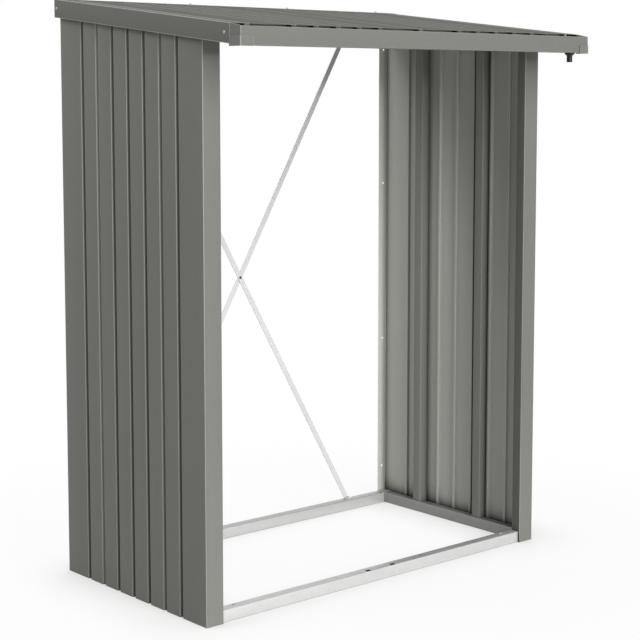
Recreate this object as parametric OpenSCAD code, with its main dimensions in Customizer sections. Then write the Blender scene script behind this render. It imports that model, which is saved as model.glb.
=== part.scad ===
// Log store: ribbed sheet side walls on a base frame, a ribbed roof that falls to the front,
// a gutter with a drain spigot under the front edge and a crossed brace in the open back.
// Millimetres. Origin at the bottom centre of the whole, +X right, +Y to the rear, +Z up.

/* [Overall] */
// Width over the gutter corner caps
roof_w = 1572; // [1300:2:2200]
// Depth from the gutter corner caps to the rear roof trim
roof_d = 1028; // [940:2:1200]
// Height of the rear roof edge
roof_h = 1995; // [1700:5:2300]
// Fall of the roof to the front, in degrees
roof_fall = 6.4; // [4:0.1:9]
// Roof edge beyond each side wall
side_overhang = 19.5; // [14:0.5:40]
// Gutter face ahead of the post faces
front_overhang = 214; // [150:2:260]

/* [Folded sheet] */
// Thickness of the folded sheets
sheet_t = 1.2; // [0.8:0.1:1.6]
// Inner radius of the folds
fold_r = 1.5; // [1:0.1:2.5]
// Flat steps in each fold
fold_steps = 3; // [2:1:6]

/* [Grooves] */
// Depth of the pressed grooves
groove_depth = 10; // [7:0.5:13]
// Width of a groove at its mouth
groove_w = 17; // [15:0.5:24]
// Width of the groove floor
groove_floor = 9; // [8:0.5:12]
// Width of a wall stripe, groove to groove
stripe_w = 90; // [70:1:94]
// Grooves in each side wall
groove_count = 7; // [5:1:7]
// Roof groove places as shares of the panel width
roof_groove_shares = [0.25, 0.375, 0.5, 0.625, 0.75];

/* [Side walls] */
// Width of the folded front post face
post_w = 68; // [60:1:90]
// Depth of the post return into the bay
post_return = 40; // [30:1:60]
// Lip at the end of the post return
post_lip = 12; // [8:1:16]
// Width of the folded rear flange
rear_flange_w = 43; // [36:1:60]
// Diameter of the rear flange holes
flange_hole_d = 7; // [5:0.5:10]
// Heights of the rear flange holes as shares of the whole
flange_hole_shares = [0.07, 0.338, 0.657, 0.926];
// Rear flange hole centres in from the wall face
flange_hole_in = 19; // [18:1:30]

/* [Wall stiffeners] */
// Width of a stiffener along the wall
stiff_w = 40; // [36:1:50]
// Stiffener face in from the wall face
stiff_in = 40; // [30:1:50]
// Lips of a stiffener on the wall sheet
stiff_lip = 6; // [4:0.5:7]
// Rear stiffener centre ahead of the rear joint groove
stiff_rear_shift = 3; // [2:0.5:4]
// Front stiffener centre behind the front joint groove
stiff_front_shift = 31; // [31:0.5:40]

/* [Base frame] */
// Height of the base rails
rail_h = 40; // [30:1:60]
// Width of the front and rear rails
rail_w = 39; // [34:1:60]
// Inner face of the side rails in from the wall face
rail_in = 47; // [42:1:60]
// Wall thickness of the rails
rail_t = 1.5; // [1.2:0.1:3]
// Front and rear rails in from the post and flange faces
rail_setback = 8; // [6:0.5:14]
// Spacing of the two ground anchor slots
anchor_pitch = 114; // [80:1:200]
// Length of an anchor slot
anchor_len = 22; // [18:1:40]
// Width of an anchor slot
anchor_w = 13; // [10:0.5:16]
// Anchor slots behind the front rail face
anchor_in = 10.5; // [10.5:0.5:18]

/* [Rear brace] */
// Width of a brace bar measured level
brace_w = 23; // [18:1:36]
// Thickness of a brace bar
brace_t = 3; // [2:0.5:5]
// Brace ends from the middle of the store
brace_half_span = 540; // [400:5:600]
// Length of the folded brace feet
brace_foot = 24; // [18:1:28]
// Brace plane ahead of the rear of the walls
brace_in = 8; // [6:0.5:12]
// Diameter of the brace pin hole
brace_hole_d = 6; // [4:0.5:8]

/* [Roof frame] */
// Depth of the front and rear headers
header_w = 35; // [30:1:40]
// Height of the headers
header_h = 55; // [40:1:60]
// Height of the top rails along the walls
upper_rail_h = 40; // [30:1:50]

/* [Roof edges] */
// Height of the side and rear roof trims
trim_h = 62; // [50:1:70]
// Top flange of the rear trim
trim_top = 40; // [30:1:60]
// Roof edge joint in from the wall face
roof_joint_in = 44; // [36:1:46]
// Gap between the rear trim and the walls
rear_gap = 3; // [1.8:0.1:5]
// Gap between a trim bottom flange and the wall
trim_gap = 4.5; // [3:0.5:8]

/* [Gutter] */
// Depth of the gutter from front to back
gutter_w = 53; // [50:1:80]
// Height of the gutter face
gutter_h = 57; // [48:1:70]
// Gutter lip below the roof sheet
gutter_drop = 10; // [8:0.5:16]
// Folded lip along the gutter face
gutter_lip = 9; // [7:0.5:14]
// Flange of the gutter back under the roof sheets
gutter_flange = 24; // [18:1:40]
// Roof sheets beyond the gutter back
roof_drip = 4; // [3:0.5:8]
// Thickness of the corner caps
cap_t = 2.5; // [1.5:0.1:3.5]
// Front leg of a corner cap
cap_leg = 48; // [30:1:60]
// Height of a corner cap
cap_h = 30; // [20:1:40]
// Rounding of the free cap corners
cap_round = 6; // [3:0.5:10]

/* [Drain spigot] */
// Spigot centre in from the gutter end
spigot_in = 67; // [52:1:120]
// Diameter of the spigot flange
spigot_flange_d = 35; // [32:1:46]
// Thickness of the spigot flange
spigot_flange_t = 4; // [2:0.5:5]
// Diameter of the spigot pipe
spigot_d = 20; // [18:1:30]
// Bore of the spigot
spigot_bore = 15; // [10:1:16]
// Length of the spigot below the gutter
spigot_len = 33; // [24:1:60]
// Taper between the spigot flange and the pipe
spigot_taper = 7; // [4:1:12]

/* [Hidden] */
$fn = 48;
overcut = 1;
half_share = 0.5;
rear_y = roof_d * half_share;
cap_y = -rear_y;
gutter_y = cap_y + cap_t;
gutter_back = gutter_y + gutter_w;
wall_rear = rear_y - rear_gap;
post_y = gutter_y + front_overhang;
wall_d = wall_rear - post_y;
trim_x = roof_w * half_share - cap_t;
wall_x = trim_x - side_overhang;
wall_in = wall_x - sheet_t;
crest_x = wall_x - groove_depth - sheet_t;
post_in = wall_x - post_w;
rail_x = wall_x - rail_in;
joint_x = wall_x - roof_joint_in;
end_stripe = (wall_d - (groove_count - 1) * stripe_w) * half_share;
groove_y = [for (i = [0:groove_count - 1]) post_y + end_stripe + i * stripe_w];
joint_front = groove_y[1];
joint_rear = groove_y[groove_count - 2];
lap = groove_floor * half_share - fold_r - overcut;
reach = groove_floor * half_share - overcut;
bearing = groove_depth + sheet_t;
roof_z = roof_h - sheet_t / cos(roof_fall);
roof_len = roof_d / cos(roof_fall);
front_rail_y = post_y + rail_setback;
rear_rail_y = wall_rear - rail_setback - rail_w;
front_header_y = front_rail_y;
rear_header_y = wall_rear - sheet_t - header_w;
rear_header_z = roof_at(rear_header_y, bearing) - header_h;
front_header_z = roof_at(front_header_y, bearing) - header_h;
gutter_top = roof_at(gutter_back, gutter_drop);
gutter_z = gutter_top - gutter_h;
brace_y = wall_rear - brace_in;
brace_mid_z = (rail_h + rear_header_z) * half_share;

// Height of a plane that lies a given depth under the roof sheets.
function roof_at(y, drop) = roof_z + (y - rear_y) * tan(roof_fall) - drop / cos(roof_fall);

// Unit vector to the right of the way from a to b.
function right_of(a, b) = [b[1] - a[1], a[0] - b[0]] / norm(b - a);

// Points of one fold at b, met on the way from a to c, with the sheet on the right.
function fold(a, b, c, t, r) = let(
    d0 = (b - a) / norm(b - a),
    d1 = (c - b) / norm(c - b),
    side = sign(cross(d0, d1)),
    turn = acos(d0 * d1),
    radius = side < 0 ? r + t : r,
    start = b - d0 * radius * tan(turn * half_share),
    arm = [d0[1], -d0[0]] * radius * side,
    centre = start - arm
) [for (i = [0:fold_steps]) let(q = side * turn * i / fold_steps)
    centre + [arm[0] * cos(q) - arm[1] * sin(q), arm[0] * sin(q) + arm[1] * cos(q)]];

// Outer line of a folded sheet with its corners rounded.
function folded(p, t, r) = concat(
    [p[0]],
    [for (i = [1:len(p) - 2]) each fold(p[i - 1], p[i], p[i + 1], t, r)],
    [p[len(p) - 1]]
);

// Point of the inner line, one sheet thickness to the right of the outer line.
function inner_point(p, i, t) = let(
    last = len(p) - 1,
    n0 = right_of(p[max(i - 1, 0)], p[max(i, 1)]),
    n1 = right_of(p[min(i, last - 1)], p[min(i + 1, last)]),
    both = n0 + n1
) p[i] + both * t / (both * both * half_share);

// Closed outline of a folded sheet from its outer corner points.
function sheet_outline(p, t, r) = let(line = folded(p, t, r)) concat(
    line,
    [for (i = [len(line) - 1:-1:0]) inner_point(line, i, t)]
);

// One wall groove on the way to the front.
function wall_groove(y) = [
    [wall_x, y + groove_w * half_share],
    [wall_x - groove_depth, y + groove_floor * half_share],
    [wall_x - groove_depth, y - groove_floor * half_share],
    [wall_x, y - groove_w * half_share]
];

// Half groove at a wall joint, entered from the joint floor on the way to the front.
function wall_joint_start(y, depth, over) = [
    [wall_x - depth, y + over],
    [wall_x - depth, y - groove_floor * half_share],
    [wall_x, y - groove_w * half_share]
];

// Half groove at a wall joint, left by the joint floor on the way to the front.
function wall_joint_end(y, depth, over) = [
    [wall_x, y + groove_w * half_share],
    [wall_x - depth, y + groove_floor * half_share],
    [wall_x - depth, y - over]
];

// One roof groove on the way outward.
function roof_groove(x) = [
    [x - groove_w * half_share, 0],
    [x - groove_floor * half_share, -groove_depth],
    [x + groove_floor * half_share, -groove_depth],
    [x + groove_w * half_share, 0]
];

// Half groove at a roof joint, entered from the joint floor on the way outward.
function roof_joint_start(x, depth, over) = [
    [x - over, -depth],
    [x + groove_floor * half_share, -depth],
    [x + groove_w * half_share, 0]
];

// Half groove at a roof joint, left by the joint floor on the way outward.
function roof_joint_end(x, depth, over) = [
    [x - groove_w * half_share, 0],
    [x - groove_floor * half_share, -depth],
    [x + over, -depth]
];

module mirrored() {
    mirror([1, 0, 0]) children();
}

// Extrudes a plan outline up to a plane under the roof.
module wall_sheet(points, drop, foot) {
    intersection() {
        linear_extrude(roof_h) polygon(points);
        under_roof(drop, foot);
    }
}

// Everything between a level foot and a plane under the roof.
module under_roof(drop, foot) {
    translate([-roof_w, 0, 0]) rotate([90, 0, 90]) linear_extrude(roof_w + roof_w) polygon([
        [cap_y, foot],
        [rear_y, foot],
        [rear_y, roof_at(rear_y, drop)],
        [cap_y, roof_at(cap_y, drop)]
    ]);
}

// Extrudes a cross section, drawn in X and height above the roof, along the fall of the roof.
module along_roof(points, y0, y1) {
    intersection() {
        translate([0, rear_y, roof_z]) rotate([roof_fall, 0, 0]) translate([0, roof_len, 0])
            rotate([90, 0, 0]) linear_extrude(roof_len + roof_len) polygon(points);
        translate([-roof_w, y0, 0]) cube([roof_w + roof_w, y1 - y0, roof_h + roof_h]);
    }
}

// Extrudes a cross section, drawn in Y and Z, across the store.
module across(points, x0, x1) {
    translate([x0, 0, 0]) rotate([90, 0, 90]) linear_extrude(x1 - x0) polygon(points);
}

module wall_front() {
    difference() {
        wall_sheet(sheet_outline(concat(
            wall_joint_start(joint_front, groove_depth - sheet_t, lap),
            wall_groove(groove_y[0]),
            [
                [wall_x, post_y],
                [post_in, post_y],
                [post_in, post_y + post_return],
                [post_in + post_lip, post_y + post_return]
            ]
        ), sheet_t, fold_r), bearing, 0);
        translate([post_in - overcut, front_rail_y - overcut * half_share, -overcut])
            cube([post_lip + overcut + overcut, post_return, rail_h + overcut]);
    }
}

module wall_middle() {
    wall_sheet(sheet_outline(concat(
        wall_joint_start(joint_rear, groove_depth, reach),
        [for (i = [groove_count - 3:-1:2]) each wall_groove(groove_y[i])],
        wall_joint_end(joint_front, groove_depth, reach)
    ), sheet_t, fold_r), bearing, 0);
}

module wall_rear_sheet() {
    difference() {
        wall_sheet(sheet_outline(concat(
            [[wall_x - rear_flange_w, wall_rear], [wall_x, wall_rear]],
            wall_groove(groove_y[groove_count - 1]),
            wall_joint_end(joint_rear, groove_depth - sheet_t, lap)
        ), sheet_t, fold_r), bearing, 0);
        for (s = flange_hole_shares)
            translate([wall_x - flange_hole_in, wall_rear + overcut, s * roof_h]) rotate([90, 0, 0])
                cylinder(d = flange_hole_d, h = sheet_t + overcut + overcut);
    }
}

// Lipped channel that stands on the side rail, open to the wall.
module stiffener(y) {
    y0 = y - stiff_w * half_share;
    y1 = y + stiff_w * half_share;
    wall_sheet(sheet_outline([
        [wall_in, y0 + stiff_lip],
        [wall_in, y0],
        [wall_x - stiff_in, y0],
        [wall_x - stiff_in, y1],
        [wall_in, y1],
        [wall_in, y1 - stiff_lip]
    ], sheet_t, fold_r), bearing + upper_rail_h, rail_h);
}

// Channel open to the ground, drawn across its length.
function rail_outline(a0, a1) = sheet_outline(
    [[a0, 0], [a0, rail_h], [a1, rail_h], [a1, 0]], rail_t, fold_r);

module anchor_slot(x, y) {
    flat_len = anchor_len - anchor_w;
    translate([x, y, rail_h - rail_t - overcut]) {
        translate([-flat_len * half_share, -anchor_w * half_share, 0])
            cube([flat_len, anchor_w, rail_t + overcut + overcut]);
        for (side = [-1, 1])
            translate([side * flat_len * half_share, 0, 0])
                cylinder(d = anchor_w, h = rail_t + overcut + overcut);
    }
}

module cross_rail(y0) {
    across(rail_outline(y0, y0 + rail_w), -crest_x, crest_x);
}

module side_rail() {
    translate([0, rear_rail_y, 0]) rotate([90, 0, 0])
        linear_extrude(rear_rail_y - front_rail_y - rail_w) polygon(rail_outline(rail_x, crest_x));
}

module top_rail() {
    along_roof(sheet_outline([
        [rail_x, -bearing],
        [crest_x, -bearing],
        [crest_x, -bearing - upper_rail_h],
        [rail_x, -bearing - upper_rail_h]
    ], sheet_t, fold_r), front_header_y, rear_header_y);
}

// Channel open to the front, its top flange on the fall of the roof.
module header(y0, z0, half_len) {
    y1 = y0 + header_w;
    across(sheet_outline([
        [y0, roof_at(y0, bearing)],
        [y1, roof_at(y1, bearing)],
        [y1, z0],
        [y0, z0]
    ], sheet_t, fold_r), -half_len, half_len);
}

module roof_sheet(depth, over) {
    along_roof(sheet_outline(concat(
        roof_joint_start(0, depth, over),
        [for (s = roof_groove_shares) each roof_groove(joint_x * s)],
        roof_joint_end(joint_x, groove_depth - sheet_t, lap)
    ), sheet_t, fold_r), gutter_back - roof_drip, wall_rear);
}

module verge_trim() {
    along_roof(sheet_outline(concat(
        roof_joint_start(joint_x, groove_depth, reach),
        [
            [trim_x, 0],
            [trim_x, -trim_h],
            [wall_x + trim_gap, -trim_h]
        ]
    ), sheet_t, fold_r), gutter_back, rear_y);
}

// One flat bar of the brace from a foot on the rear rail to a foot under the rear header.
module brace_bar(y0) {
    half_w = brace_w * half_share;
    difference() {
        union() {
            translate([0, y0 + brace_t, 0]) rotate([90, 0, 0]) linear_extrude(brace_t) polygon([
                [brace_half_span - half_w, rail_h],
                [brace_half_span + half_w, rail_h],
                [half_w - brace_half_span, rear_header_z],
                [-half_w - brace_half_span, rear_header_z]
            ]);
            translate([brace_half_span - half_w, y0 + brace_t - brace_foot, rail_h])
                cube([brace_w, brace_foot, brace_t]);
            translate([-half_w - brace_half_span, y0 + brace_t - brace_foot, rear_header_z - brace_t])
                cube([brace_w, brace_foot, brace_t]);
        }
        translate([0, y0 + brace_t + overcut, brace_mid_z]) rotate([90, 0, 0])
            cylinder(d = brace_hole_d, h = brace_t + overcut + overcut);
    }
}

// Cutter that rounds a free upper corner of a cap, drawn from the corner inward.
module corner_cut() {
    linear_extrude(cap_t + overcut + overcut) difference() {
        translate([-overcut, -overcut]) square(cap_round + overcut);
        translate([cap_round, cap_round]) circle(cap_round);
    }
}

// Moulded corner with a leg along the gutter face and a leg along its end.
module corner_cap() {
    x1 = trim_x + cap_t;
    top_z = gutter_z - cap_t + cap_h;
    difference() {
        translate([0, 0, gutter_z - cap_t]) linear_extrude(cap_h) polygon(sheet_outline([
            [x1, gutter_back],
            [x1, cap_y],
            [x1 - cap_leg, cap_y]
        ], cap_t, fold_r));
        translate([x1 - cap_leg, cap_y - overcut, top_z]) rotate([-90, 0, 0]) corner_cut();
        translate([trim_x - overcut, gutter_back, top_z]) rotate([-90, 0, -90]) corner_cut();
    }
}

// End plate whose top edge falls from the roof edge to the gutter face.
module gutter_end() {
    across([
        [gutter_y, gutter_z],
        [gutter_back, gutter_z],
        [gutter_back, roof_at(gutter_back, 0)],
        [gutter_y, gutter_top]
    ], trim_x - sheet_t, trim_x);
}

module base_rail_front() {
    color("Gainsboro") difference() {
        cross_rail(front_rail_y);
        for (side = [-1, 1])
            anchor_slot(side * anchor_pitch * half_share, front_rail_y + anchor_in);
    }
}

module base_rail_rear() {
    color("Gainsboro") cross_rail(rear_rail_y);
}

module base_rail_left() {
    color("Gainsboro") mirrored() side_rail();
}

module base_rail_right() {
    color("Gainsboro") side_rail();
}

module left_wall_front() {
    color("DimGray") mirrored() wall_front();
}

module left_wall_middle() {
    color("DimGray") mirrored() wall_middle();
}

module left_wall_rear() {
    color("DimGray") mirrored() wall_rear_sheet();
}

module right_wall_front() {
    color("DimGray") wall_front();
}

module right_wall_middle() {
    color("DimGray") wall_middle();
}

module right_wall_rear() {
    color("DimGray") wall_rear_sheet();
}

module left_stiffener_front() {
    color("Gray") mirrored() stiffener(joint_front + stiff_front_shift);
}

module left_stiffener_rear() {
    color("Gray") mirrored() stiffener(joint_rear - stiff_rear_shift);
}

module right_stiffener_front() {
    color("Gray") stiffener(joint_front + stiff_front_shift);
}

module right_stiffener_rear() {
    color("Gray") stiffener(joint_rear - stiff_rear_shift);
}

module left_top_rail() {
    color("Silver") mirrored() top_rail();
}

module right_top_rail() {
    color("Silver") top_rail();
}

module front_header() {
    color("Silver") header(front_header_y, front_header_z, post_in);
}

module rear_header() {
    color("Silver") header(rear_header_y, rear_header_z, wall_in);
}

module cross_brace_front() {
    color("Gainsboro") brace_bar(brace_y - brace_t);
}

module cross_brace_back() {
    color("Gainsboro") mirrored() brace_bar(brace_y);
}

module roof_panel_left() {
    color("DarkGray") mirrored() roof_sheet(groove_depth, reach);
}

module roof_panel_right() {
    color("DarkGray") roof_sheet(groove_depth - sheet_t, lap);
}

module left_verge_trim() {
    color("DimGray") mirrored() verge_trim();
}

module right_verge_trim() {
    color("DimGray") verge_trim();
}

module rear_roof_trim() {
    flange_y = rear_y - trim_top;
    half_len = trim_x - sheet_t - overcut * half_share;
    color("DimGray") across(sheet_outline([
        [flange_y, roof_at(flange_y, -sheet_t)],
        [rear_y, roof_at(rear_y, -sheet_t)],
        [rear_y, roof_at(rear_y, trim_h)]
    ], sheet_t, fold_r), -half_len, half_len);
}

module gutter() {
    flange_y = gutter_back + gutter_flange;
    inner_lip = gutter_y + gutter_lip;
    color("Gray") difference() {
        across(sheet_outline([
            [flange_y, roof_at(flange_y, bearing + sheet_t)],
            [gutter_back, roof_at(gutter_back, bearing + sheet_t)],
            [gutter_back, gutter_z],
            [gutter_y, gutter_z],
            [gutter_y, gutter_top],
            [inner_lip, gutter_top],
            [inner_lip, gutter_top - gutter_lip]
        ], sheet_t, fold_r), sheet_t - trim_x, trim_x - sheet_t);
        translate([trim_x - spigot_in, gutter_y + gutter_w * half_share, gutter_z - overcut])
            cylinder(d = spigot_bore, h = sheet_t + overcut + overcut);
    }
}

module gutter_end_left() {
    color("DimGray") mirrored() gutter_end();
}

module gutter_end_right() {
    color("DimGray") gutter_end();
}

module gutter_cap_left() {
    color("Gray") mirrored() corner_cap();
}

module gutter_cap_right() {
    color("Gray") corner_cap();
}

module drain_spigot() {
    bore_r = spigot_bore * half_share;
    pipe_r = spigot_d * half_share;
    flange_r = spigot_flange_d * half_share;
    taper_z = -spigot_flange_t - spigot_taper;
    color("Black") translate([trim_x - spigot_in, gutter_y + gutter_w * half_share, gutter_z])
        rotate_extrude() polygon([
            [bore_r, 0],
            [bore_r, -spigot_len],
            [pipe_r, -spigot_len],
            [pipe_r, taper_z],
            [flange_r, -spigot_flange_t],
            [flange_r, 0]
        ]);
}

base_rail_front();
base_rail_rear();
base_rail_left();
base_rail_right();
left_wall_front();
left_wall_middle();
left_wall_rear();
right_wall_front();
right_wall_middle();
right_wall_rear();
left_stiffener_front();
left_stiffener_rear();
right_stiffener_front();
right_stiffener_rear();
left_top_rail();
right_top_rail();
front_header();
rear_header();
cross_brace_front();
cross_brace_back();
roof_panel_left();
roof_panel_right();
left_verge_trim();
right_verge_trim();
rear_roof_trim();
gutter();
gutter_end_left();
gutter_end_right();
gutter_cap_left();
gutter_cap_right();
drain_spigot();
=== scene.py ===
import math

import bmesh
import bpy
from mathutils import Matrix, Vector


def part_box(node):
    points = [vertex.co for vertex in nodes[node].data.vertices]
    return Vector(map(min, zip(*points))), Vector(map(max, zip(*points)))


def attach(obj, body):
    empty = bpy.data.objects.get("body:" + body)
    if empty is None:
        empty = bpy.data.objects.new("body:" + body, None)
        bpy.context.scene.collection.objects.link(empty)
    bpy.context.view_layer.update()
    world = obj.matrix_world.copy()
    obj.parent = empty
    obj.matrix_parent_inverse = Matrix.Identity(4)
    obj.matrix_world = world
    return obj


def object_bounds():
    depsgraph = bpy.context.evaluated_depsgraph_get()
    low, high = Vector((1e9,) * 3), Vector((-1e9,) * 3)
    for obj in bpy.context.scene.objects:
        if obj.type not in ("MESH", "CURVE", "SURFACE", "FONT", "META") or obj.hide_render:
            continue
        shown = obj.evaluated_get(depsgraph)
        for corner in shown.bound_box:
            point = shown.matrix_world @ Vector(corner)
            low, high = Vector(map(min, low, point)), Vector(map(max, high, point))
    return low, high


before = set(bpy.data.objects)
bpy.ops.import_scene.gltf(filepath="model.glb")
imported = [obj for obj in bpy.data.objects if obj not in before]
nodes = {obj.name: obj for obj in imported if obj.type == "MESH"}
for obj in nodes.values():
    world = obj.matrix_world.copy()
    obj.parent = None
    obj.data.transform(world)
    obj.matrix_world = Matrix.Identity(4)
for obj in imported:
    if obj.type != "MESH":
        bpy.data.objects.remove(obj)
cadLow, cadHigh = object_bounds()
scene = bpy.context.scene
scene.view_settings.view_transform = "Standard"
print("frame loaded:", len(nodes), "nodes")

# camera, matched to the edges in the photograph
shot = {
    "place": (-3.6588, -4.1895, 1.6869),
    "yaw": 40.859,  # degrees to the right of straight in
    "dip": 5.988,  # degrees below level
    "lens": 89.08,
    "sensor": 36.0,
    "shift": -0.10,  # keeps the posts close to upright
}


def makeCamera():
    data = bpy.data.cameras.new("shotCamera")
    data.lens = shot["lens"]
    data.sensor_width = shot["sensor"]
    data.shift_y = shot["shift"]
    camera = bpy.data.objects.new("shotCamera", data)
    camera.location = shot["place"]
    camera.rotation_euler = (math.radians(90 - shot["dip"]), 0, math.radians(-shot["yaw"]))
    scene.collection.objects.link(camera)
    scene.camera = camera


makeCamera()
print("camera set")


# small helpers for node trees
def put(tree, kind, x, y, **settings):
    node = tree.nodes.new(kind)
    node.location = (x, y)
    for name, value in settings.items():
        setattr(node, name, value)
    return node


def feed(tree, socket, value):
    if isinstance(value, bpy.types.NodeSocket):
        tree.links.new(value, socket)
    else:
        socket.default_value = value


def maths(tree, x, y, operation, first, second=0.0, third=0.0):
    node = put(tree, "ShaderNodeMath", x, y, operation=operation)
    for socket, value in zip(node.inputs, (first, second, third)):
        feed(tree, socket, value)
    return node.outputs[0]


def spread(tree, x, y, value, low, high, newLow=0.0, newHigh=1.0, smooth=False):
    node = put(tree, "ShaderNodeMapRange", x, y)
    if smooth:
        node.interpolation_type = "SMOOTHSTEP"
    for socket, setting in zip(node.inputs, (value, low, high, newLow, newHigh)):
        feed(tree, socket, setting)
    return node.outputs["Result"]


def stretched(tree, x, y, source, scale):
    node = put(tree, "ShaderNodeVectorMath", x, y, operation="MULTIPLY")
    feed(tree, node.inputs[0], source)
    feed(tree, node.inputs[1], scale)
    return node.outputs[0]


def noise(tree, x, y, source, scale, detail=2.0, rough=0.5):
    node = put(tree, "ShaderNodeTexNoise", x, y)
    feed(tree, node.inputs["Vector"], source)
    feed(tree, node.inputs["Scale"], scale)
    node.inputs["Detail"].default_value = detail
    node.inputs["Roughness"].default_value = rough
    return node.outputs["Fac"]


def splitGeometry(tree, x, y, source):
    # a place or normal on the surface, split into X, Y and Z
    spot = put(tree, "ShaderNodeNewGeometry", x, y)
    parts = put(tree, "ShaderNodeSeparateXYZ", x + 180, y)
    feed(tree, parts.inputs[0], spot.outputs[source])
    return parts.outputs


def mixPaint(tree, x, y, share, first, second):
    mix = put(tree, "ShaderNodeMix", x, y, data_type="RGBA")
    feed(tree, mix.inputs["Factor"], share)
    feed(tree, mix.inputs[6], first)  # 6, 7 and output 2 are the colour sockets
    feed(tree, mix.inputs[7], second)
    return mix.outputs[2]


def seenRays(tree, x, y):
    path = put(tree, "ShaderNodeLightPath", x, y)
    seen = maths(tree, x + 180, y, "MAXIMUM", path.outputs["Is Camera Ray"], path.outputs["Is Glossy Ray"])
    return maths(tree, x + 360, y, "MAXIMUM", seen, path.outputs["Is Transmission Ray"])


def newMaterial(name):
    material = bpy.data.materials.new(name)
    material.use_nodes = True
    tree = material.node_tree
    tree.nodes.clear()
    end = put(tree, "ShaderNodeOutputMaterial", 700, 0)
    return material, tree, end


# studio: white round, pale floor, a tall key and a low light in front, one light behind on the left,
# a fill behind on the right and a weak light at the posts' feet
studio = {
    "ambient": 0.08,
    "white": (1.0, 1.0, 1.0, 1.0),
    "floorSeen": (0.98, 0.98, 0.97, 1.0),  # the floor as the camera sees it
    "floorBounce": (0.62, 0.62, 0.61, 1.0),  # the floor as it lights the store
    "floorRadius": 12.0,
    "floorSides": 96,
    "floorDrop": 0.0004,  # floor this far under the rails
    "clearNear": 0.93,  # how far the floor by the store is lifted to white
    "contact": 0.25,  # metres, reach of the closest shadow
    "contactSamples": 8,
    "fadeFrom": 0.9,  # metres from the middle, where the floor starts to turn pure white
    "fadeTo": 2.3,
}
lamps = {
    "keyLight": {"place": (-1.6, -12.0, 7.4), "aim": (0.0, 0.0, 1.0), "size": (6.0, 10.0), "power": 1240.0},
    "lowLight": {"place": (0.0, -10.0, 2.9), "aim": (0.0, 0.0, 1.2), "size": (2.4, 0.8), "power": 195.0},
    "backLight": {"place": (-5.2, 2.4, 5.6), "aim": (0.0, 0.2, 1.0), "size": (2.6, 3.2), "power": 185.0},
    "rearLight": {"place": (4.4, 4.2, 2.2), "aim": (0.0, 0.0, 1.0), "size": (2.6, 2.6), "power": 140.0,
                  "shine": False},  # a fill, with no shine of its own
    "footLight": {"place": (-0.7, -2.3, 0.12), "aim": (-0.2, 0.0, 0.3), "size": (1.8, 0.2), "power": 8.0},
}


def makeWorld():
    world = bpy.data.worlds.new("studioWorld")
    scene.world = world
    world.use_nodes = True
    tree = world.node_tree
    tree.nodes.clear()
    soft = put(tree, "ShaderNodeBackground", -200, -150)
    soft.inputs["Color"].default_value = studio["white"]
    soft.inputs["Strength"].default_value = studio["ambient"]
    white = put(tree, "ShaderNodeBackground", -200, -300)
    white.inputs["Color"].default_value = studio["white"]
    white.inputs["Strength"].default_value = 1.0
    mix = put(tree, "ShaderNodeMixShader", 60, 0)
    feed(tree, mix.inputs[0], seenRays(tree, -760, 100))
    feed(tree, mix.inputs[1], soft.outputs[0])
    feed(tree, mix.inputs[2], white.outputs[0])
    end = put(tree, "ShaderNodeOutputWorld", 260, 0)
    feed(tree, end.inputs["Surface"], mix.outputs[0])


def floorFinish():
    material, tree, end = newMaterial("studioFloor")
    spot = put(tree, "ShaderNodeNewGeometry", -1100, -200)
    level = stretched(tree, -900, -200, spot.outputs["Position"], (1.0, 1.0, 0.0))
    away = put(tree, "ShaderNodeVectorMath", -720, -200, operation="LENGTH")
    feed(tree, away.inputs[0], level)
    fade = spread(tree, -540, -200, away.outputs["Value"], studio["fadeFrom"], studio["fadeTo"],
                  studio["clearNear"], 1.0, smooth=True)
    under = put(tree, "ShaderNodeAmbientOcclusion", -540, -480, samples=studio["contactSamples"])
    under.inputs["Distance"].default_value = studio["contact"]
    lift = maths(tree, -300, -200, "MULTIPLY", fade, under.outputs["AO"])
    paint = put(tree, "ShaderNodeBsdfDiffuse", -100, -200)
    paint.inputs["Color"].default_value = studio["floorSeen"]
    white = put(tree, "ShaderNodeEmission", -100, -350)
    white.inputs["Color"].default_value = studio["white"]
    white.inputs["Strength"].default_value = 1.0
    seen = put(tree, "ShaderNodeMixShader", 160, -200)
    feed(tree, seen.inputs[0], lift)
    feed(tree, seen.inputs[1], paint.outputs[0])
    feed(tree, seen.inputs[2], white.outputs[0])
    dull = put(tree, "ShaderNodeBsdfDiffuse", 160, -400)
    dull.inputs["Color"].default_value = studio["floorBounce"]
    mix = put(tree, "ShaderNodeMixShader", 460, 0)
    feed(tree, mix.inputs[0], seenRays(tree, -540, 200))
    feed(tree, mix.inputs[1], dull.outputs[0])
    feed(tree, mix.inputs[2], seen.outputs[0])
    feed(tree, end.inputs["Surface"], mix.outputs[0])
    return material


def makeFloor():
    bm = bmesh.new()
    bmesh.ops.create_circle(bm, cap_ends=True, radius=studio["floorRadius"], segments=studio["floorSides"])
    mesh = bpy.data.meshes.new("studioFloor")
    bm.to_mesh(mesh)
    bm.free()
    floor = bpy.data.objects.new("studioFloor", mesh)
    floor.location.z = cadLow.z - studio["floorDrop"]
    mesh.materials.append(floorFinish())
    scene.collection.objects.link(floor)


def makeLamps():
    for name, lamp in lamps.items():
        data = bpy.data.lights.new(name, "AREA")
        data.shape = "RECTANGLE"
        data.size, data.size_y = lamp["size"]
        data.energy = lamp["power"]
        light = bpy.data.objects.new(name, data)
        light.location = lamp["place"]
        light.visible_camera = False
        light.visible_glossy = lamp.get("shine", True)
        way = Vector(lamp["aim"]) - light.location
        light.rotation_euler = way.to_track_quat("-Z", "Y").to_euler()
        scene.collection.objects.link(light)


makeWorld()
makeFloor()
makeLamps()
print("studio set")


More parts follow.
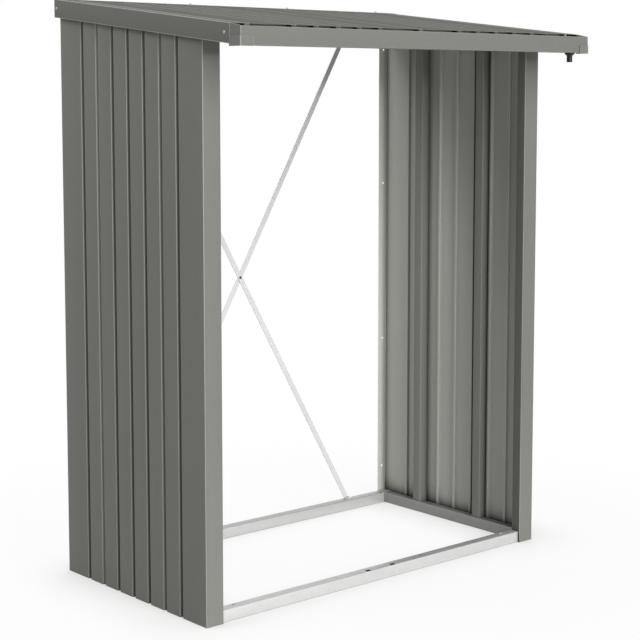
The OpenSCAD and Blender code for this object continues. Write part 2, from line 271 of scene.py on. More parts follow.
# shared effects as node groups
def newGroup(name, inputs, outputs):
    group = bpy.data.node_groups.new(name, "ShaderNodeTree")
    for label, kind, value in inputs:
        socket = group.interface.new_socket(name=label, in_out="INPUT", socket_type=kind)
        socket.default_value = value
    for label, kind in outputs:
        group.interface.new_socket(name=label, in_out="OUTPUT", socket_type=kind)
    start = put(group, "NodeGroupInput", -1200, 0)
    end = put(group, "NodeGroupOutput", 900, 0)
    return group, start.outputs, end.inputs


def shadePaint(tree, x, y, paint, value):
    tint = put(tree, "ShaderNodeHueSaturation", x, y)
    feed(tree, tint.inputs["Color"], paint)
    feed(tree, tint.inputs["Value"], value)
    return tint.outputs[0]


finishOutputs = [
    ("Colour", "NodeSocketColor"),
    ("Roughness", "NodeSocketFloat"),
    ("Height", "NodeSocketFloat"),
]

coatTexture = {
    "flakeScale": 800.0,
    "cloudScale": 2.2,
    "peelScale": 380.0,
    "driftSpan": (0.6, 1.4),  # lines and clouds together lie in this span
    "haze": 0.14,  # clouds change the roughness this much, half of it to each side
    "flakeRelief": 0.12,
}


def coatGroup():
    # stoved coat on sheet: metal flake, orange peel, faint drift of tone along the rolling
    group, given, result = newGroup(
        "stovedCoat",
        [("Tint", "NodeSocketColor", (0.2, 0.2, 0.19, 1.0)),
         ("Rolling", "NodeSocketVector", (30.0, 30.0, 0.7)),
         ("Flake", "NodeSocketFloat", 0.1),
         ("Drift", "NodeSocketFloat", 0.05),
         ("Gloss", "NodeSocketFloat", 0.45)],
        finishOutputs)
    place = put(group, "ShaderNodeTexCoord", -1200, -300).outputs["Object"]
    cells = put(group, "ShaderNodeTexVoronoi", -900, 200)
    feed(group, cells.inputs["Vector"], place)
    cells.inputs["Scale"].default_value = coatTexture["flakeScale"]
    split = put(group, "ShaderNodeSeparateColor", -700, 200)
    feed(group, split.inputs[0], cells.outputs["Color"])
    sparkle = spread(group, -500, 200, split.outputs[0], 0.0, 1.0, -1.0, 1.0)
    lines = noise(group, -700, -50, stretched(group, -900, -50, place, given["Rolling"]), 1.0, detail=3.0)
    clouds = noise(group, -700, -300, place, coatTexture["cloudScale"], detail=3.0)
    drift = maths(group, -500, -150, "ADD", lines, clouds)
    drift = spread(group, -320, -150, drift, *coatTexture["driftSpan"], -1.0, 1.0)
    shine = maths(group, -320, 200, "MULTIPLY", sparkle, given["Flake"])
    shade = maths(group, -140, 0, "MULTIPLY_ADD", drift, given["Drift"], shine)
    shade = maths(group, 40, 0, "ADD", shade, 1.0)
    feed(group, result["Colour"], shadePaint(group, 240, 100, given["Tint"], shade))
    peel = noise(group, -700, -550, place, coatTexture["peelScale"], detail=1.5)
    haze = maths(group, 240, -150, "MULTIPLY_ADD", clouds, coatTexture["haze"], given["Gloss"])
    haze = maths(group, 420, -150, "SUBTRACT", haze, coatTexture["haze"] / 2)
    feed(group, result["Roughness"], haze)
    relief = maths(group, 240, -400, "MULTIPLY_ADD", split.outputs[1], coatTexture["flakeRelief"], peel)
    feed(group, result["Height"], relief)
    return group


zincTexture = {
    "warpScale": 120.0,
    "warp": (0.008, 0.008, 0.008),  # metres, how far the crystal borders wander
    "cloudScale": 9.0,
    "markSpan": (0.6, 1.4),  # lines and clouds together lie in this span
    "crystalHaze": 0.12,
    "cloudHaze": 0.1,
    "lineRelief": 0.5,
}


def zincGroup():
    # hot dip zinc: crystal spangle, drawing lines along the bar, dull clouds
    group, given, result = newGroup(
        "zincSpangle",
        [("Tint", "NodeSocketColor", (0.5, 0.5, 0.5, 1.0)),
         ("Drawing", "NodeSocketVector", (1.5, 260.0, 260.0)),
         ("Crystal", "NodeSocketFloat", 70.0),
         ("Contrast", "NodeSocketFloat", 0.1),
         ("Gloss", "NodeSocketFloat", 0.42)],
        finishOutputs)
    place = put(group, "ShaderNodeTexCoord", -1200, -300).outputs["Object"]
    warp = put(group, "ShaderNodeTexNoise", -1050, 300)
    feed(group, warp.inputs["Vector"], place)
    warp.inputs["Scale"].default_value = zincTexture["warpScale"]
    bend = put(group, "ShaderNodeVectorMath", -880, 300, operation="MULTIPLY_ADD")
    feed(group, bend.inputs[0], warp.outputs["Color"])
    bend.inputs[1].default_value = zincTexture["warp"]
    feed(group, bend.inputs[2], place)
    cells = put(group, "ShaderNodeTexVoronoi", -700, 300)
    feed(group, cells.inputs["Vector"], bend.outputs[0])
    feed(group, cells.inputs["Scale"], given["Crystal"])
    split = put(group, "ShaderNodeSeparateColor", -520, 300)
    feed(group, split.inputs[0], cells.outputs["Color"])
    crystal = spread(group, -340, 300, split.outputs[0], 0.0, 1.0, -1.0, 1.0)
    lines = noise(group, -700, 0, stretched(group, -900, 0, place, given["Drawing"]), 1.0, detail=3.0)
    clouds = noise(group, -700, -250, place, zincTexture["cloudScale"], detail=4.0)
    marks = maths(group, -340, -100, "ADD", lines, clouds)
    marks = spread(group, -160, -100, marks, *zincTexture["markSpan"], -0.5, 0.5)
    both = maths(group, 20, 100, "ADD", crystal, marks)
    shade = maths(group, 200, 100, "MULTIPLY_ADD", both, given["Contrast"], 1.0)
    feed(group, result["Colour"], shadePaint(group, 400, 100, given["Tint"], shade))
    haze = maths(group, 200, -150, "MULTIPLY_ADD", split.outputs[1], zincTexture["crystalHaze"],
                 given["Gloss"])
    haze = maths(group, 400, -150, "MULTIPLY_ADD", clouds, zincTexture["cloudHaze"], haze)
    feed(group, result["Roughness"], haze)
    relief = maths(group, 200, -400, "MULTIPLY_ADD", lines, zincTexture["lineRelief"], split.outputs[2])
    feed(group, result["Height"], relief)
    return group


mouldTexture = {
    "cloudScale": 40.0,
    "cloudSpan": (0.3, 0.7),
    "cloudTone": (0.93, 1.07),
    "haze": 0.12,
}


def mouldGroup():
    # moulded plastic: fine sparked grain and a little flow cloud
    group, given, result = newGroup(
        "mouldedGrain",
        [("Tint", "NodeSocketColor", (0.2, 0.2, 0.2, 1.0)),
         ("Grain", "NodeSocketFloat", 1400.0),
         ("Gloss", "NodeSocketFloat", 0.5)],
        finishOutputs)
    place = put(group, "ShaderNodeTexCoord", -1200, -300).outputs["Object"]
    grain = noise(group, -700, 100, place, given["Grain"])
    clouds = noise(group, -700, -200, place, mouldTexture["cloudScale"], detail=3.0)
    shade = spread(group, -400, -100, clouds, *mouldTexture["cloudSpan"], *mouldTexture["cloudTone"])
    feed(group, result["Colour"], shadePaint(group, 0, 100, given["Tint"], shade))
    haze = maths(group, 0, -150, "MULTIPLY_ADD", grain, mouldTexture["haze"], given["Gloss"])
    feed(group, result["Roughness"], haze)
    feed(group, result["Height"], grain)
    return group


paintedEdgeLimits = {
    "samples": 8,
    "turned": (0.99, 0.85),  # cosine of the turn of a fold, from none to the full painted highlight
    "clearReach": 4.0,  # room an edge needs to take the painted highlight, in radii
    "clear": (0.6, 0.9),
    "shut": (0.85, 0.3),  # open sky left in a corner, from none to full painted shade
    "darkest": 0.05,
}


def paintedEdgeGroup():
    # painted highlights on folds and edges, painted shade in corners and gaps
    group, given, result = newGroup(
        "paintedEdgeShading",
        [("Colour", "NodeSocketColor", (0.2, 0.2, 0.2, 1.0)),
         ("Fold", "NodeSocketFloat", 0.0),
         ("Near", "NodeSocketFloat", 1.0),
         ("Radius", "NodeSocketFloat", 0.002),
         ("Lift", "NodeSocketFloat", 0.5),
         ("Reach", "NodeSocketFloat", 0.03),
         ("Wide", "NodeSocketFloat", 0.03),
         ("PaintedShade", "NodeSocketFloat", 0.5)],
        [("Colour", "NodeSocketColor")])
    samples = paintedEdgeLimits["samples"]
    bevel = put(group, "ShaderNodeBevel", -900, 300, samples=samples)
    feed(group, bevel.inputs["Radius"], given["Radius"])
    face = put(group, "ShaderNodeNewGeometry", -900, 100)
    turn = put(group, "ShaderNodeVectorMath", -700, 200, operation="DOT_PRODUCT")
    feed(group, turn.inputs[0], bevel.outputs[0])
    feed(group, turn.inputs[1], face.outputs["True Normal"])
    folded = spread(group, -500, 200, turn.outputs["Value"], *paintedEdgeLimits["turned"])
    folded = maths(group, -400, 200, "MAXIMUM", folded, given["Fold"])
    near = put(group, "ShaderNodeAmbientOcclusion", -700, 0, samples=samples)
    room = maths(group, -900, -100, "MULTIPLY", given["Radius"], paintedEdgeLimits["clearReach"])
    feed(group, near.inputs["Distance"], room)
    clear = spread(group, -500, 0, near.outputs["AO"], *paintedEdgeLimits["clear"])
    edge = maths(group, -300, 100, "MULTIPLY", folded, clear)
    # painted shade from own: corners within the piece, and beside: corners with its neighbours, where Near
    # lets them show
    own = put(group, "ShaderNodeAmbientOcclusion", -700, -250, samples=samples, only_local=True)
    feed(group, own.inputs["Distance"], given["Reach"])
    creviceShade = spread(group, -500, -250, own.outputs["AO"], *paintedEdgeLimits["shut"])
    beside = put(group, "ShaderNodeAmbientOcclusion", -700, -500, samples=samples)
    feed(group, beside.inputs["Distance"], given["Wide"])
    corner = spread(group, -500, -500, beside.outputs["AO"], *paintedEdgeLimits["shut"])
    corner = maths(group, -400, -500, "MULTIPLY", corner, given["Near"])
    creviceShade = maths(group, -300, -250, "MAXIMUM", creviceShade, corner)
    # painted highlight on the folds, painted shade in the corners
    paler = maths(group, -100, 100, "MULTIPLY_ADD", edge, given["Lift"], 1.0)
    paintedDarkening = maths(group, -100, -150, "MULTIPLY", creviceShade, given["PaintedShade"])
    shade = maths(group, 80, 0, "SUBTRACT", paler, paintedDarkening)
    shade = maths(group, 200, -200, "MAXIMUM", shade, paintedEdgeLimits["darkest"])
    feed(group, result["Colour"], shadePaint(group, 300, 0, given["Colour"], shade))
    return group


stovedCoat = coatGroup()
zincSpangle = zincGroup()
mouldedGrain = mouldGroup()
paintedEdgeShading = paintedEdgeGroup()


def useGroup(tree, group, x, y, **values):
    node = put(tree, "ShaderNodeGroup", x, y, node_tree=group)
    for name, value in values.items():
        feed(tree, node.inputs[name], value)
    return node


surface = {
    "bump": 0.5,
    "foldLeaves": (0.98, 0.92),  # cosine of the turn where a rounded fold starts
    "foldEnds": (0.42, 0.55),  # and where it ends, in the flank
    "inward": -0.1,  # limits on a normal's parts, for the masks
    "toFront": -0.5,
    "level": 0.5,
    "up": 0.7,
}


def foldBand(tree, x, y, axis):
    # mask of the rounded folds: faces partly turned away from the axis that the flats face
    faces = splitGeometry(tree, x, y, "Normal")
    turn = maths(tree, x + 360, y, "ABSOLUTE", faces[axis])
    leaves = spread(tree, x + 540, y, turn, *surface["foldLeaves"])
    ends = spread(tree, x + 540, y - 200, turn, *surface["foldEnds"])
    return maths(tree, x + 720, y, "MULTIPLY", leaves, ends)


def dress(tree, end, finish, paintedEdges, bumpDepth, specular, metallic=0.0, fold=0.0, near=1.0):
    # one shader fed by a finish group, with painted highlights on its edges and painted shade in its corners
    edgeShaded = useGroup(tree, paintedEdgeShading, 240, 200, Colour=finish.outputs["Colour"], Fold=fold, Near=near, **paintedEdges)
    shader = put(tree, "ShaderNodeBsdfPrincipled", 420, 0)
    feed(tree, shader.inputs["Base Color"], edgeShaded.outputs["Colour"])
    feed(tree, shader.inputs["Roughness"], finish.outputs["Roughness"])
    shader.inputs["Specular IOR Level"].default_value = specular
    shader.inputs["Metallic"].default_value = metallic
    bump = put(tree, "ShaderNodeBump", 200, -300)
    bump.inputs["Distance"].default_value = bumpDepth
    bump.inputs["Strength"].default_value = surface["bump"]
    feed(tree, bump.inputs["Height"], finish.outputs["Height"])
    feed(tree, shader.inputs["Normal"], bump.outputs[0])
    feed(tree, end.inputs["Surface"], shader.outputs[0])


# coated sheet, with the paler coat on the side of the sheet that faces the bay
coat = {
    "outer": (0.205, 0.208, 0.190, 1.0),
    "stiffener": (0.24, 0.244, 0.224, 1.0),
    # painted shade: a darker copy of the outer coat on the roof
    "roof": (0.131, 0.133, 0.121, 1.0),
    "inner": (0.495, 0.495, 0.463, 1.0),
    # painted light: a lighter copy of the inner coat on the rear flanges' front faces
    "flange": (0.68, 0.68, 0.636, 1.0),
    # painted shade: a darker copy of the outer coat on the posts' returns that face the bay
    "return": (0.155, 0.157, 0.144, 1.0),
    # painted light: a paler copy of the outer coat at the posts' feet
    "paintedFootLight": (0.250, 0.253, 0.232, 1.0),
    "footLightTop": 0.6,  # painted light on the posts' faces thins out up to here
    "footLightRest": 0.2,  # share of it that is left above
    "postSkin": 0.003,  # posts' faces lie within this of the front
    "flake": 0.10,
    "drift": 0.03,
    "gloss": 0.50,
    "dullGloss": 0.62,  # roof and side trims
    "specular": 0.2,
    "dullSpecular": 0.06,
    "peel": 0.00012,  # metres, depth of the orange peel
    "upright": (30.0, 30.0, 0.7),  # rolling lines run up the walls
    "downRoof": (30.0, 0.7, 30.0),
    "across": (0.7, 30.0, 30.0),
    "bayEdge": 0.715,  # nearer the middle the folded posts turn their outer coat to the bay
    "flangeFrom": 0.505,  # rear flanges lie behind this
    # painted highlights on the folds and painted shade in corners and gaps, for each kind of sheet
    "paintedEdges": {"Radius": 0.0022, "Lift": 1.6, "Reach": 0.04, "Wide": 0.08, "PaintedShade": 1.0},
    "bayFold": 0.18,  # share of the painted fold highlight on the paler coat in the bay
    "frontFold": 0.45,  # share of it on the ridge beside the post
    "ridgeFrom": 0.155,  # that ridge lies this far behind the post's face, or less
    "footFold": 0.5,  # share of it at the foot of the outer side, all of it over fadeTop
    "fadeTop": 1.5,
    "stiffenerPaintedEdges": {"Radius": 0.0022, "Lift": 0.3, "Reach": 0.03, "Wide": 0.03, "PaintedShade": 0.5},
    "trimPaintedEdges": {"Radius": 0.0022, "Lift": 0.4, "Reach": 0.03, "Wide": 0.03, "PaintedShade": 0.75},
    "roofPaintedEdges": {"Radius": 0.0022, "Lift": 1.9, "Reach": 0.03, "Wide": 0.03, "PaintedShade": 0.95},
    "endPaintedEdges": {"Radius": 0.0025, "Lift": 2.2, "Reach": 0.015, "Wide": 0.015, "PaintedShade": 0.5},
}


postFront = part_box("left_wall_front")[0].y


def innerSide(tree, x, y):
    # masks of the paler coat in the bay, the rear flanges' front faces, which take painted light, the posts'
    # returns, which take painted shade, and all bay sides
    where = splitGeometry(tree, x, y, "Position")
    faces = splitGeometry(tree, x, y - 160, "True Normal")
    side = maths(tree, x + 360, y, "SIGN", where["X"])
    outward = maths(tree, x + 540, y, "MULTIPLY", side, faces["X"])
    inward = maths(tree, x + 720, y, "LESS_THAN", outward, surface["inward"])
    onFlange = maths(tree, x + 360, y - 200, "GREATER_THAN", where["Y"], coat["flangeFrom"])
    toFront = maths(tree, x + 360, y - 360, "LESS_THAN", faces["Y"], surface["toFront"])
    flange = maths(tree, x + 540, y - 280, "MULTIPLY", onFlange, toFront)
    reach = maths(tree, x + 360, y - 520, "ABSOLUTE", where["X"])
    beyond = maths(tree, x + 540, y - 520, "GREATER_THAN", reach, coat["bayEdge"])
    paler = maths(tree, x + 900, y - 200, "MULTIPLY", inward, beyond)
    # the posts' returns, which take the painted shade
    turned = maths(tree, x + 900, y - 360, "SUBTRACT", inward, paler)
    return paler, flange, turned, inward


def footFade(tree, x, y):
    # share of the painted fold highlight on the outer side: less towards the foot of a wall
    where = splitGeometry(tree, x, y, "Position")
    return spread(tree, x + 360, y, where["Z"], 0.0, coat["fadeTop"], coat["footFold"], 1.0)


def ridgeFold(tree, x, y):
    # share of the painted fold highlight on the paler coat: more on the ridge beside the post
    where = splitGeometry(tree, x, y, "Position")
    ridge = maths(tree, x + 360, y, "LESS_THAN", where["Y"], postFront + coat["ridgeFrom"])
    return spread(tree, x + 540, y, ridge, 0.0, 1.0, coat["bayFold"], coat["frontFold"])


def postFootLightMask(tree, x, y):
    # mask of the painted light on the posts' faces, most of it at the foot
    where = splitGeometry(tree, x, y, "Position")
    face = maths(tree, x + 360, y, "LESS_THAN", where["Y"], postFront + coat["postSkin"])
    height = spread(tree, x + 360, y - 200, where["Z"], coat["footLightTop"], 0.0, coat["footLightRest"], 1.0)
    return maths(tree, x + 540, y, "MULTIPLY", face, height)


def coatFinish(name, rolling, paint="outer", flats="X", paintedEdges="paintedEdges", wall=False, dull=False):
    material, tree, end = newMaterial(name)
    tint = coat[paint]
    fold = foldBand(tree, -700, 600, flats)
    near = 1.0
    if wall:
        paler, flange, turned, near = innerSide(tree, -1500, 200)
        paintedFootLight = postFootLightMask(tree, -1500, -600)
        # the paler coat in the bay, then painted light on the flanges, painted shade on the returns and
        # painted light at the posts' feet
        coats = ((paler, "inner"), (flange, "flange"), (turned, "return"), (paintedFootLight, "paintedFootLight"))
        for i, (share, second) in enumerate(coats):
            tint = mixPaint(tree, -560 + 160 * i, 200, share, tint, coat[second])
        outerFold = footFade(tree, -900, 400)
        bayFold = ridgeFold(tree, -1500, -1000)
        share = spread(tree, -300, 500, paler, 0.0, 1.0, outerFold, bayFold)
        fold = maths(tree, -100, 500, "MULTIPLY", fold, share)
    finish = useGroup(tree, stovedCoat, 100, 100, Tint=tint, Rolling=coat[rolling], Flake=coat["flake"],
                      Drift=coat["drift"], Gloss=coat["dullGloss" if dull else "gloss"])
    specular = coat["dullSpecular" if dull else "specular"]
    dress(tree, end, finish, coat[paintedEdges], coat["peel"], specular, 0.0, fold, near)
    return material


# zinc coated bars
zinc = {
    "rail": (0.67, 0.67, 0.665, 1.0),
    "rearRail": (0.66, 0.66, 0.655, 1.0),
    "shadedZinc": (0.28, 0.28, 0.275, 1.0),  # painted shade: a darker copy of the rail zinc, on the side rails, top rails and headers
    "bar": (0.84, 0.84, 0.84, 1.0),
    "screw": (0.50, 0.50, 0.49, 1.0),
    "rivet": (0.09, 0.09, 0.09, 1.0),
    # painted shade: near black on the slots' cut edges
    "slotShade": (0.02, 0.02, 0.02, 1.0),
    "rearRailTopShade": (0.46, 0.46, 0.455, 1.0),  # painted shade: darker top of the rear rail
    "crystal": 75.0,
    "contrast": 0.025,
    "barContrast": 0.01,
    "gloss": 0.30,
    "barGloss": 0.45,
    "depth": 0.00002,
    "barDepth": 0.000004,
    "specular": 0.5,
    "railMetal": 0.45,
    "barMetal": 0.15,
    "slotZone": 0.0035,  # slot edges lie this close under the top, clear of the rail's faces
    "alongX": (1.5, 260.0, 260.0),
    "alongY": (260.0, 1.5, 260.0),
    # painted highlight on the edges and painted shade in the corners
    "paintedEdges": {"Radius": 0.0012, "Lift": 0.1, "Reach": 0.006, "Wide": 0.006, "PaintedShade": 0.6},
    # deeper painted shade, on the headers behind the gutter
    "hiddenPaintedShade": {"Radius": 0.0012, "Lift": 0.1, "Reach": 0.04, "Wide": 0.04, "PaintedShade": 0.8},
}


def slotShadeFaces(tree, x, y):
    # mask of the cut edges round the anchor slots in the front rail's top, painted near black as shade
    low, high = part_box("base_rail_front")
    where = splitGeometry(tree, x, y, "Position")
    faces = splitGeometry(tree, x, y - 160, "True Normal")
    lean = maths(tree, x + 360, y - 160, "ABSOLUTE", faces["Z"])
    mask = maths(tree, x + 540, y - 160, "LESS_THAN", lean, surface["level"])
    limits = (("Z", "GREATER_THAN", high.z - zinc["slotZone"]),
              ("Y", "GREATER_THAN", low.y + zinc["slotZone"]),
              ("Y", "LESS_THAN", high.y - zinc["slotZone"]))
    for i, (axis, test, limit) in enumerate(limits):
        inside = maths(tree, x + 540, y - 320 - 160 * i, test, where[axis], limit)
        mask = maths(tree, x + 720 + 180 * i, y - 160, "MULTIPLY", mask, inside)
    return mask


def topShadeFaces(tree, x, y):
    # mask of the faces that look up, where the rear rail's top takes painted shade
    faces = splitGeometry(tree, x, y, "True Normal")
    return maths(tree, x + 360, y, "GREATER_THAN", faces["Z"], surface["up"])


def zincFinish(name, tint, drawing, metal="barMetal", paintedEdges="paintedEdges", mask=None, second="", smooth=False):
    material, tree, end = newMaterial(name)
    paint = zinc[tint]
    if mask:
        paint = mixPaint(tree, -100, 200, mask(tree, -1500, 200), paint, zinc[second])
    finish = useGroup(tree, zincSpangle, 100, 100, Tint=paint, Drawing=zinc[drawing],
                      Crystal=zinc["crystal"], Contrast=zinc["barContrast" if smooth else "contrast"],
                      Gloss=zinc["barGloss" if smooth else "gloss"])
    depth = zinc["barDepth" if smooth else "depth"]
    dress(tree, end, finish, zinc[paintedEdges], depth, zinc["specular"], zinc[metal])
    return material


# moulded caps and spigot
plastic = {
    "cap": (0.205, 0.208, 0.195, 1.0),
    "capGloss": 0.42,
    "spigot": (0.012, 0.012, 0.014, 1.0),
    "spigotGloss": 0.34,
    "grain": 1400.0,
    "depth": 0.00006,
    "specular": 0.3,
    # painted highlight on the caps' rounded edges and painted shade in their corners
    "paintedEdges": {"Radius": 0.0025, "Lift": 1.3, "Reach": 0.01, "Wide": 0.01, "PaintedShade": 0.5},
}


def plasticFinish(name, tint, gloss, rounded=False):
    material, tree, end = newMaterial(name)
    finish = useGroup(tree, mouldedGrain, 100, 100, Tint=plastic[tint], Grain=plastic["grain"],
                      Gloss=plastic[gloss])
    fold = foldBand(tree, -700, 600, "X") if rounded else 0.0
    dress(tree, end, finish, plastic["paintedEdges"], plastic["depth"], plastic["specular"], 0.0, fold)
    return material


coatedWall = coatFinish("coatedWall", "upright", wall=True)
coatedStiffener = coatFinish("coatedStiffener", "upright", "stiffener", paintedEdges="stiffenerPaintedEdges")
coatedRoof = coatFinish("coatedRoof", "downRoof", "roof", flats="Z", paintedEdges="roofPaintedEdges", dull=True)
coatedVerge = coatFinish("coatedVerge", "downRoof", dull=True)
coatedTrim = coatFinish("coatedTrim", "across", flats="Y", paintedEdges="trimPaintedEdges")
coatedEnd = coatFinish("coatedEnd", "across", paintedEdges="endPaintedEdges")
zincFrontRail = zincFinish("zincFrontRail", "rail", "alongX", "railMetal", mask=slotShadeFaces, second="slotShade")
shadedSideRail = zincFinish("shadedSideRail", "shadedZinc", "alongY", "railMetal")
zincRearRail = zincFinish("zincRearRail", "rearRail", "alongX", "railMetal", mask=topShadeFaces, second="rearRailTopShade")
shadedHeader = zincFinish("shadedHeader", "shadedZinc", "alongX", "railMetal", "hiddenPaintedShade")
zincBar = zincFinish("zincBrace", "bar", "alongX", smooth=True)
zincScrew = zincFinish("zincScrew", "screw", "alongX")
darkRivet = zincFinish("darkRivet", "rivet", "alongX")
capPlastic = plasticFinish("capPlastic", "cap", "capGloss", True)
spigotPlastic = plasticFinish("spigotPlastic", "spigot", "spigotGloss")
print("finishes made")

finishOf = {
    "base_rail_front": zincFrontRail,
    "base_rail_rear": zincRearRail,
    "base_rail_left": shadedSideRail,
    "base_rail_right": shadedSideRail,
    "left_top_rail": shadedSideRail,
    "right_top_rail": shadedSideRail,
    "front_header": shadedHeader,
    "rear_header": shadedHeader,
    "cross_brace_front": zincBar,
    "cross_brace_back": zincBar,
    "roof_panel_left": coatedRoof,
    "roof_panel_right": coatedRoof,
    "left_verge_trim": coatedVerge,
    "right_verge_trim": coatedVerge,
    "rear_roof_trim": coatedTrim,
    "gutter": coatedTrim,
    "gutter_end_left": coatedEnd,
    "gutter_end_right": coatedEnd,
    "gutter_cap_left": capPlastic,
    "gutter_cap_right": capPlastic,
    "drain_spigot": spigotPlastic,
}

folds = {"weld": 0.00001, "softBelow": 40.0}  # metres, degrees


def foldSmoothing():
    # joins the loose faces of a sheet and shades its folds round
    tree = bpy.data.node_groups.new("foldSmoothing", "GeometryNodeTree")
    for way in ("INPUT", "OUTPUT"):
        tree.interface.new_socket(name="Geometry", in_out=way, socket_type="NodeSocketGeometry")
    start = put(tree, "NodeGroupInput", -800, 0)
    weld = put(tree, "GeometryNodeMergeByDistance", -600, 0)
    feed(tree, weld.inputs["Geometry"], start.outputs[0])
    weld.inputs["Distance"].default_value = folds["weld"]
    bare = put(tree, "GeometryNodeRemoveAttribute", -400, 0)
    feed(tree, bare.inputs["Geometry"], weld.outputs[0])
    bare.inputs["Name"].default_value = "custom_normal"
    faces = put(tree, "GeometryNodeSetShadeSmooth", -200, 0, domain="FACE")
    feed(tree, faces.inputs[0], bare.outputs[0])
    faces.inputs["Shade Smooth"].default_value = True
    angle = put(tree, "GeometryNodeInputMeshEdgeAngle", -400, -200)
    low = put(tree, "FunctionNodeCompare", -200, -200, operation="LESS_THAN")
    feed(tree, low.inputs[0], angle.outputs["Unsigned Angle"])
    low.inputs[1].default_value = math.radians(folds["softBelow"])
    edges = put(tree, "GeometryNodeSetShadeSmooth", 0, 0, domain="EDGE")
    feed(tree, edges.inputs[0], faces.outputs[0])
    feed(tree, edges.inputs["Shade Smooth"], low.outputs[0])
    end = put(tree, "NodeGroupOutput", 200, 0)
    feed(tree, end.inputs[0], edges.outputs[0])
    return tree


def finishFrame():
    smoothing = foldSmoothing()
    for name, node in nodes.items():
        finish = finishOf.get(name)
        if finish is None:
            finish = coatedWall if "_wall_" in name else coatedStiffener
        node.data.materials.clear()
        node.data.materials.append(finish)
        modifier = node.modifiers.new("foldSmoothing", "NODES")
        modifier.node_group = smoothing


finishFrame()
print("frame finished:", len(nodes), "nodes")

# turned heads: each ring is (radius, height, six sided)
heads = {
    "sides": 24,
    "sharpOver": 38.0,  # degrees
    "hexBolt": [(0.0070, 0.0, 0), (0.0072, 0.0006, 0), (0.0068, 0.0013, 0), (0.0050, 0.0018, 0),
                (0.0042, 0.0019, 1), (0.0042, 0.0046, 1), (0.0040, 0.0053, 0), (0.0032, 0.0055, 0),
                (0.0026, 0.0051, 0)],
    "domed": [(0.0052, 0.0, 0), (0.0054, 0.0004, 0), (0.0051, 0.0014, 0), (0.0043, 0.0024, 0),
              (0.0031, 0.0030, 0), (0.0020, 0.0032, 0), (0.0017, 0.0031, 1), (0.0016, 0.0015, 1)],
    "rivet": [(0.0053, 0.0, 0), (0.0055, 0.0005, 0), (0.0051, 0.0016, 0), (0.0040, 0.0026, 0),
              (0.0025, 0.0031, 0), (0.0018, 0.0031, 0), (0.0016, 0.0022, 0)],
}


def turnHead(bm, kind, place, axis):
    sides = heads["sides"]
    turn = Vector((0, 0, 1)).rotation_difference(Vector(axis)).to_matrix()
    loops = []
    for radius, height, sixSided in heads[kind]:
        loop = []
        for i in range(sides):
            angle = math.tau * i / sides
            reach = radius
            if sixSided:
                reach = radius / math.cos(angle % (math.tau / 6) - math.tau / 12)
            spot = Vector((reach * math.cos(angle), reach * math.sin(angle), height))
            loop.append(bm.verts.new(Vector(place) + turn @ spot))
        loops.append(loop)
    for low, high in zip(loops, loops[1:]):
        for i in range(sides):
            j = (i + 1) % sides
            bm.faces.new((low[i], low[j], high[j], high[i]))
    bm.faces.new(list(reversed(loops[0])))
    bm.faces.new(loops[-1])


def headPiece(name, spots, finish):
    bm = bmesh.new()
    for kind, place, axis in spots:
        turnHead(bm, kind, place, axis)
    for face in bm.faces:
        face.smooth = True
    for edge in bm.edges:
        edge.smooth = edge.calc_face_angle(0.0) < math.radians(heads["sharpOver"])
    mesh = bpy.data.meshes.new(name)
    bm.to_mesh(mesh)
    bm.free()
    mesh.materials.append(finish)
    piece = bpy.data.objects.new(name, mesh)
    scene.collection.objects.link(piece)
    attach(piece, "root")


# roof screws: along the rear trim and in the ends of the side trims
roofScrews = {
    "fall": 6.4,  # degrees
    "rearAt": (0.227, 0.685),  # along the rear trim, from the middle to both sides
    "rearIn": 0.020,  # ahead of the trim's rear face
    "bed": 0.0003,  # heads sink this far
    "vergeFromFront": 0.026,
    "vergeFromRear": 0.015,
    "vergeBelow": 0.0305,
}


def makeRoofScrews():
    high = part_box("rear_roof_trim")[1]
    slope = math.tan(math.radians(roofScrews["fall"]))
    up = Vector((0, -slope, 1)).normalized()
    y = high.y - roofScrews["rearIn"]
    z = high.z - roofScrews["rearIn"] * slope - roofScrews["bed"]
    spots = []
    for x in roofScrews["rearAt"]:
        spots += [("hexBolt", (side * x, y, z), up) for side in (-1, 1)]
    headPiece("rearTrimBolts", spots, zincScrew)
    spots = []
    for name, side in (("left_verge_trim", -1), ("right_verge_trim", 1)):
        low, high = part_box(name)
        x = (low.x if side < 0 else high.x) - side * roofScrews["bed"]
        for y in (low.y + roofScrews["vergeFromFront"], high.y - roofScrews["vergeFromRear"]):
            z = high.z - (high.y - y) * slope - roofScrews["vergeBelow"]
            spots.append(("domed", (x, y, z), (side, 0, 0)))
    headPiece("vergeScrews", spots, zincScrew)


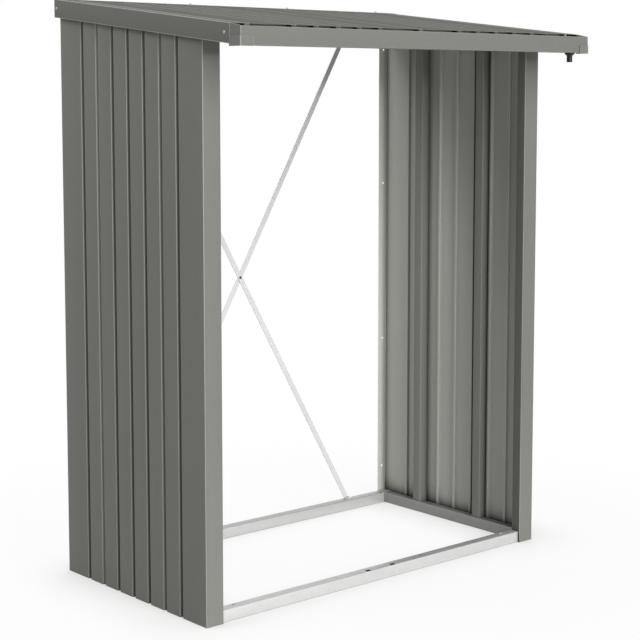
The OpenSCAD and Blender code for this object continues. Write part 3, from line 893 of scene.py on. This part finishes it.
# brace and rail fixings
braceScrews = {
    "barWidth": 0.023,
    "barThick": 0.003,
    "footIn": 0.012,  # from the free edge of a foot
    "bed": 0.0003,  # heads sink this far
    "railAt": (0.5036, 0.6397),  # on the rear rail, from the middle
    "railIn": 0.006,  # behind the rear rail's front face
    "frontAt": 0.628,  # on the front rail, from the middle
    "frontIn": 0.027,  # behind its front face
    "cornerIn": 0.016,  # inside the side rails' inner faces, on the rear rail
    "cornerOut": 0.008,  # outside those faces, on the side rails
    "cornerAhead": 0.014,  # ahead of the rear rail
}


def makeBraceFixings():
    rise = braceScrews["barThick"] - braceScrews["bed"]
    spots = []
    for name, side in (("cross_brace_front", 1), ("cross_brace_back", -1)):
        low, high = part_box(name)
        footX = high.x - braceScrews["barWidth"] / 2
        y = low.y + braceScrews["footIn"]
        spots.append(("domed", (side * footX, y, low.z + rise), (0, 0, 1)))
        spots.append(("domed", (-side * footX, y, high.z - rise), (0, 0, -1)))
    headPiece("braceFootScrews", spots, zincScrew)
    frontLow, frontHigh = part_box("cross_brace_front")
    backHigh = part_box("cross_brace_back")[1]
    middle = (frontLow.z + frontHigh.z) / 2
    spots = [("rivet", (0, frontHigh.y - rise, middle), (0, -1, 0)),
             ("rivet", (0, backHigh.y - braceScrews["bed"], middle), (0, 1, 0))]
    headPiece("braceRivet", spots, darkRivet)


def makeRailScrews():
    up = (0, 0, 1)
    rearLow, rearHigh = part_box("base_rail_rear")
    rearY = rearLow.y + braceScrews["railIn"]
    rearZ = rearHigh.z - braceScrews["bed"]
    spots = []
    for x in braceScrews["railAt"]:
        spots += [("domed", (side * x, rearY, rearZ), up) for side in (-1, 1)]
    frontLow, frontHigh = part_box("base_rail_front")
    frontY = frontLow.y + braceScrews["frontIn"]
    frontZ = frontHigh.z - braceScrews["bed"]
    spots += [("domed", (side * braceScrews["frontAt"], frontY, frontZ), up) for side in (-1, 1)]
    headPiece("railScrews", spots, zincScrew)
    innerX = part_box("base_rail_right")[0].x
    spots = []
    for side in (-1, 1):
        onRear = (side * (innerX - braceScrews["cornerIn"]), rearY, rearZ)
        onSide = (side * (innerX + braceScrews["cornerOut"]), rearLow.y - braceScrews["cornerAhead"], rearZ)
        spots += [("domed", place, up) for place in (onRear, onSide)]
    # the dark rivet finish on these heads is painted shade at the rear corners
    headPiece("cornerScrews", spots, darkRivet)


makeRoofScrews()
makeBraceFixings()
makeRailScrews()
print("fixings made")
